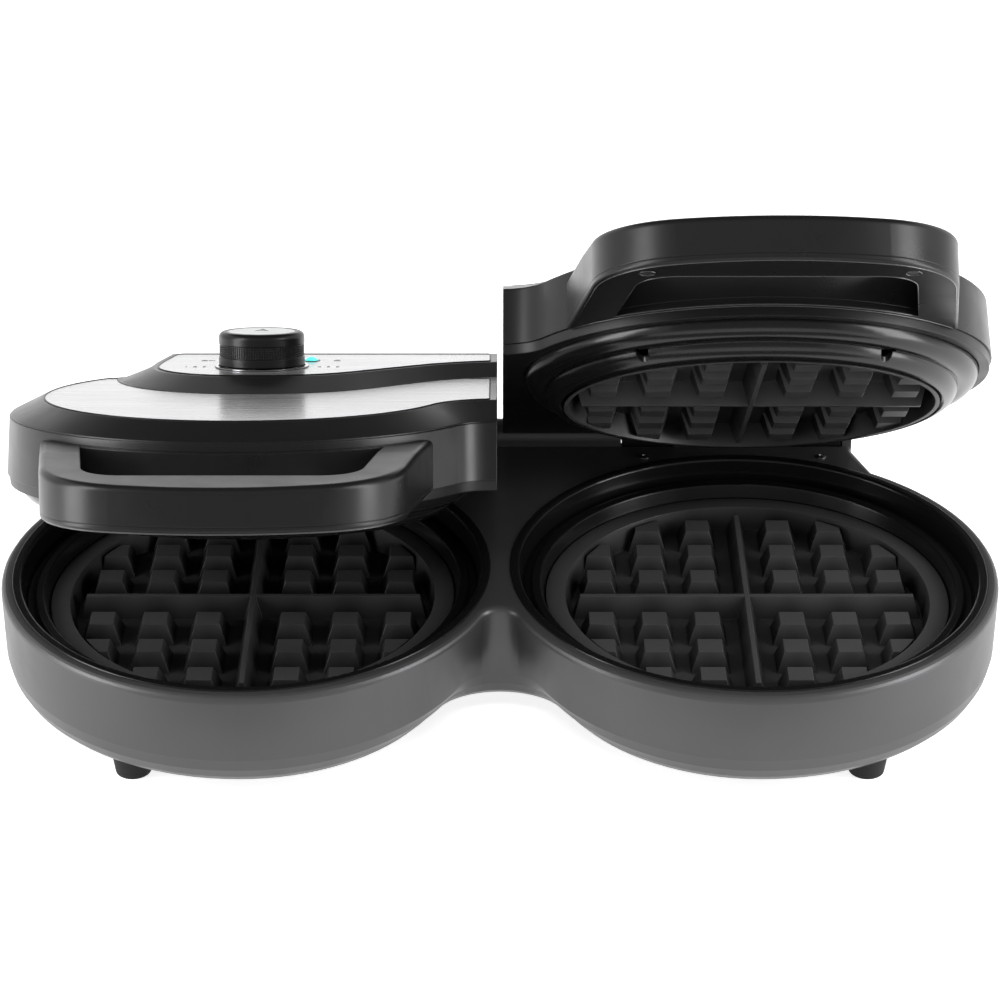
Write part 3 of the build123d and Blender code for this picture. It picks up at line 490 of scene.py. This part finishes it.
def knurlTree():
    # A four-sided stud, turned outward, set round a ring, and the ring stacked in rows
    tree, sockets, given = newGroup("knurlBand", knurlInputs, False)
    new, link = tree.nodes.new, tree.links.new
    stud = addNode(tree, "GeometryNodeMeshCone", Vertices=knurl["studSides"])
    size = given.outputs["studSize"]
    link(size, stud.inputs["Radius Bottom"])
    link(addMath(tree, "MULTIPLY", size, knurl["studTop"]), stud.inputs["Radius Top"])
    link(given.outputs["studHeight"], stud.inputs["Depth"])
    square = addNode(tree, "GeometryNodeTransform",
                     Rotation=(0, 0, radians(knurl["studTurnDeg"])))
    link(stud.outputs["Mesh"], square.inputs["Geometry"])
    outward = addNode(tree, "GeometryNodeTransform", Rotation=(0, radians(90), 0),
                      Scale=knurl["studScale"])
    link(square.outputs["Geometry"], outward.inputs["Geometry"])

    circle = new("GeometryNodeMeshCircle")
    link(given.outputs["count"], circle.inputs["Vertices"])
    link(given.outputs["bandRadius"], circle.inputs["Radius"])
    where = new("GeometryNodeInputPosition")
    split = new("ShaderNodeSeparateXYZ")
    link(where.outputs["Position"], split.inputs[0])
    bearing = addMath(tree, "ARCTAN2", split.outputs["Y"], split.outputs["X"])
    turn = new("ShaderNodeCombineXYZ")
    link(bearing, turn.inputs["Z"])
    ring = new("GeometryNodeInstanceOnPoints")
    link(circle.outputs["Mesh"], ring.inputs["Points"])
    link(outward.outputs["Geometry"], ring.inputs["Instance"])
    link(turn.outputs[0], ring.inputs["Rotation"])

    rise = new("ShaderNodeCombineXYZ")
    link(given.outputs["rowPitch"], rise.inputs["Z"])
    column = new("GeometryNodeMeshLine")
    link(given.outputs["rows"], column.inputs["Count"])
    link(rise.outputs[0], column.inputs["Offset"])
    stack = new("GeometryNodeInstanceOnPoints")
    link(column.outputs["Mesh"], stack.inputs["Points"])
    link(ring.outputs["Instances"], stack.inputs["Instance"])
    closeGroup(tree, given, stack.outputs["Instances"])
    return tree, sockets


knurlBand, knurlSockets = knurlTree()


def knurlMesh(side):
    maker = bpy.data.objects.new("knurlMaker", bpy.data.meshes.new("knurlMaker"))
    values = {label: knurl[label] for label in knurlInputs}
    addGroup(maker, knurlBand, knurlSockets, {**values, "finish": finishes["knob_black"]})
    mesh = evaluatedMesh(maker, side + "Knurl")
    mesh.transform(knobPlace(side) @ Matrix.Translation((0, 0, knurl["foot"])))
    return mesh


for side in sides:
    addObject(side + "Knurl", knurlMesh(side), "knob_black", side + "_knob")
print("knurls made")


# Pointer let into the cap of the knob
pointer = {"halfWidth": 0.0036, "front": 0.0, "notch": 0.002, "tip": 0.0105, "top": 0.01763,
           "thick": 0.00008}


def flatShape(outline, height, thick, name):
    # Thin plate from an outline in X and Y
    form = bmesh.new()
    low = [form.verts.new((x, y, height - thick)) for x, y in outline]
    high = [form.verts.new((x, y, height)) for x, y in outline]
    form.faces.new(high)
    form.faces.new(low[::-1])
    for i in range(len(outline)):
        j = (i + 1) % len(outline)
        form.faces.new((low[i], low[j], high[j], high[i]))
    return meshFrom(form, name)


for side in sides:
    half, front = pointer["halfWidth"], pointer["front"]
    arrow = flatShape([(-half, front), (0, front + pointer["notch"]), (half, front),
                       (0, pointer["tip"])], pointer["top"], pointer["thick"], side + "Pointer")
    arrow.transform(knobPlace(side))
    addObject(side + "Pointer", arrow, "knob_black", side + "_knob")
print("pointers made")


# Marks printed on the deck panel beside the dial
marks = {"height": 0.00026, "thick": 0.00004, "resolution": 3, "numberSize": 0.0042,
         "wordSize": 0.0044, "numbers": ("1  2  3", "4  5  6"), "numbersAt": (0.0325, -0.0015),
         "word": "ON", "wordAt": (-0.0285, 0.0245)}
drop = {"at": (0.0355, 0.0245), "radius": 0.0017, "tip": 2.6, "steps": 16, "startDeg": 150,
        "sweepDeg": 240}


def textMesh(words, size, at, name):
    curve = bpy.data.curves.new(name, "FONT")
    curve.body = words
    curve.size = size
    curve.align_x = "CENTER"
    curve.align_y = "CENTER"
    curve.extrude = marks["thick"]
    curve.resolution_u = marks["resolution"]
    mesh = evaluatedMesh(bpy.data.objects.new(name, curve), name)
    mesh.transform(Matrix.Translation((at[0], at[1], marks["height"])))
    return mesh


def dropOutline(at, radius):
    # Round at the foot, with a point on top
    outline = []
    for step in range(drop["steps"] + 1):
        angle = radians(drop["startDeg"] + drop["sweepDeg"] * step / drop["steps"])
        outline.append((at[0] + radius * cos(angle), at[1] + radius * sin(angle)))
    outline.append((at[0], at[1] + drop["tip"] * radius))
    return outline


def printMarks(side, sign):
    # The word and the drop swap sides between the lids; the numbers read the same on both
    low, high = marks["numbers"]
    numbersX, numbersY = marks["numbersAt"]
    wordAt = (-sign * marks["wordAt"][0], marks["wordAt"][1])
    dropAt = (-sign * drop["at"][0], drop["at"][1])
    size, top, thick = marks["numberSize"], marks["height"] + marks["thick"], marks["thick"]
    pieces = [
        (textMesh(low, size, (-numbersX, numbersY), side + "NumbersLow"), "Low"),
        (textMesh(high, size, (numbersX, numbersY), side + "NumbersHigh"), "High"),
        (textMesh(marks["word"], marks["wordSize"], wordAt, side + "Word"), "Word"),
        (flatShape(dropOutline(dropAt, drop["radius"]), top, thick, side + "Drop"), "Drop"),
    ]
    for mesh, label in pieces:
        mesh.transform(knobPlace(side))
        mesh.materials.clear()
        addObject(side + "Mark" + label, mesh, "knob_black", side + "_lid")


for side, sign in sides.items():
    printMarks(side, sign)
print("dial marks printed")


# Domed lens over the ready light
dome = {"radius": 0.003, "height": 0.0018, "at": (0.0228, 0.025), "foot": 0.0003, "rings": 6,
        "steps": 32, "smoothDeg": 60}

for side, sign in sides.items():
    profile = [(0, 0.0)]
    for ring in range(dome["rings"] + 1):
        angle = pi / 2 * ring / dome["rings"]
        profile.append((dome["radius"] * cos(angle) if ring < dome["rings"] else 0,
                        dome["height"] * sin(angle)))
    lens = meshFrom(lathed(profile, dome["steps"]), side + "Lens", dome["smoothDeg"])
    lens.transform(knobPlace(side) @ Matrix.Translation(
        (-sign * dome["at"][0], dome["at"][1], dome["foot"])))
    addObject(side + "Lens", lens, "lens", side + "_lid")
print("lenses made")


# Fine beads along the edges of flat faces: a dark line round each steel panel, which paints the shadow in
# the gap at its edge, and the seams, slot rim and screw rims under the handles
bead = {"flat": 0.995, "level": 0.00012, "join": 0.00001, "resolution": 1}
beads = {
    # Painted shade: a black bead for the shadow in the gap round each steel panel
    "front_panel": {"slot": "cover_black", "finish": "cover_black", "radius": 0.00036,
                    "outward": 0.0002, "facing": 1},
    "deck_panel": {"slot": "cover_black", "finish": "cover_black", "radius": 0.00036,
                   "outward": 0.0002, "facing": 1},
    "handle_base": {"slot": "gloss_black", "finish": "bead_shine", "radius": 0.0003,
                    "outward": -0.0001, "facing": -1},
}


def faceLoops(node, facing):
    # Ordered boundary loops of the outermost flat face that looks along facing
    form = bmesh.new()
    form.from_mesh(node.data)
    bmesh.ops.remove_doubles(form, verts=form.verts, dist=bead["join"])
    form.normal_update()
    level = max(v.co.dot(facing) for v in form.verts)
    chosen = {f for f in form.faces if f.normal.dot(facing) > bead["flat"]
              and all(level - v.co.dot(facing) < bead["level"] for v in f.verts)}
    rim = [e for e in form.edges if sum(f in chosen for f in e.link_faces) == 1]
    following = {}
    for edge in rim:
        face = next(f for f in edge.link_faces if f in chosen)
        start = next(corner.vert for corner in face.loops if corner.edge == edge)
        following[start] = edge.other_vert(start)
    loops = []
    while following:
        start, spot = following.popitem()
        loop = [start.co.copy(), spot.co.copy()]
        while spot in following:
            spot = following.pop(spot)
            loop.append(spot.co.copy())
        loops.append(loop[:-1])
    form.free()
    return loops


def shifted(loop, facing, outward):
    # Moves each corner away from the face, in the face's own plane
    moved = []
    for i, spot in enumerate(loop):
        along = (loop[(i + 1) % len(loop)] - loop[i - 1]).normalized()
        moved.append(spot + along.cross(facing) * outward)
    return moved


def beadMesh(loops, radius, name):
    curve = bpy.data.curves.new(name, "CURVE")
    curve.dimensions = "3D"
    curve.bevel_depth = radius
    curve.bevel_resolution = bead["resolution"]
    for loop in loops:
        spline = curve.splines.new("POLY")
        spline.points.add(len(loop) - 1)
        for point, spot in zip(spline.points, loop):
            point.co = (*spot, 1)
        spline.use_cyclic_u = True
    mesh = evaluatedMesh(bpy.data.objects.new(name, curve), name)
    mesh.materials.clear()
    return mesh


def layBeads(side, part, look):
    facing = knobPlace(side).to_3x3() @ Vector((0, 0, look["facing"]))
    loops = faceLoops(frame["nodes"][side + "_" + part], facing)
    moved = [shifted(loop, facing, look["outward"]) for loop in loops]
    name = side + "_" + part + "_bead"
    mesh = beadMesh(moved, look["radius"], name)
    mesh.materials.append(finishes[look["finish"]])
    addObject(name, mesh, look["slot"], side + "_lid")
    return len(moved)


for side in sides:
    for part, look in beads.items():
        print("beads on", side, part, layBeads(side, part, look))


# Small screws on the base's deck, in front of the hinge. The profile is in shares of the head's
# radius and height, and the offsets go with a hinge at hingeY
deckScrew = {"headRadius": 0.0026, "headHeight": 0.001, "steps": 20, "deck": 0.06,
             "profile": ((0, 0), (1, 0), (1, 0.45), (0.75, 0.9), (0.42, 1), (0.34, 0.5),
                         (0, 0.45)),
             "offsets": ((-0.0448, 0.1114), (0.0448, 0.1114)), "hingeY": 0.131}
stationX = {side: joints[side + "_lid_hinge"]["pos_m"][0] for side in sides}
shift = joints["left_lid_hinge"]["pos_m"][1] - deckScrew["hingeY"]


def screwTree():
    # Places a given head on each point of the mesh it is put on
    tree, sockets, given = newGroup("screwRow", {"head": "NodeSocketObject"}, True)
    head = tree.nodes.new("GeometryNodeObjectInfo")
    places = tree.nodes.new("GeometryNodeInstanceOnPoints")
    tree.links.new(given.outputs["head"], head.inputs["Object"])
    tree.links.new(given.outputs["Geometry"], places.inputs["Points"])
    tree.links.new(head.outputs["Geometry"], places.inputs["Instance"])
    closeGroup(tree, given, places.outputs["Instances"])
    return tree, sockets


def deckScrews():
    radius, height = deckScrew["headRadius"], deckScrew["headHeight"]
    profile = [(radius * out, height * up) for out, up in deckScrew["profile"]]
    head = bpy.data.objects.new("deckScrewHead",
                                meshFrom(lathed(profile, deckScrew["steps"]), "deckScrewHead"))
    points = [(stationX[side] + x, y + shift, deckScrew["deck"])
              for side in sides for x, y in deckScrew["offsets"]]
    spots = bpy.data.meshes.new("deckScrewSpots")
    spots.from_pydata(points, [], [])
    maker = bpy.data.objects.new("deckScrewMaker", spots)
    addGroup(maker, *screwTree(), {"head": head, "finish": finishes["screws"]})
    mesh = evaluatedMesh(maker, "deckScrews")
    bpy.data.objects.remove(head)
    return mesh


addObject("deckScrews", deckScrews(), "screws", "base")
print("deck screws placed")
